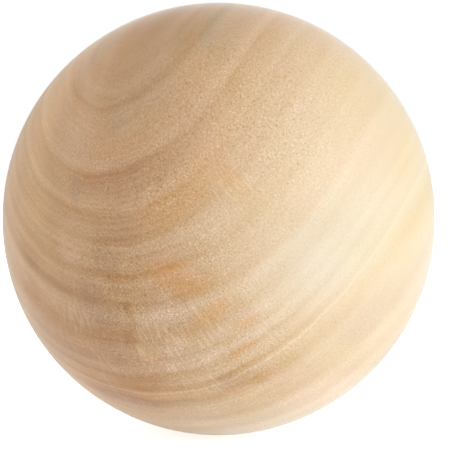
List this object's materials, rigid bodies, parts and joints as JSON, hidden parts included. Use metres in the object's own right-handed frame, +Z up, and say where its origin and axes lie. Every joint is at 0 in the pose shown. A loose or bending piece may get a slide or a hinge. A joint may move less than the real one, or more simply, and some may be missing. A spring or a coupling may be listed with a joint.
{
  "type": "wooden ball",
  "caption": "Plain solid wooden ball, turned and sanded smooth, in pale unfinished hardwood with soft growth rings.",
  "frame": {"origin": "centre of the ball", "axes": "+Z up; +Y runs from the front of the ball to its back, so the face seen from the front looks along -Y; +X to the right of that view. The shape is the same in every direction, and only the grain tells the axes apart"},
  "size_m": [0.05, 0.05, 0.05],
  "materials": {
    "ball_wood": "fine sanded, unfinished, matt"
  },
  "bodies": {
    "root": {"ball": "ball_wood"}
  },
  "joints": []
}
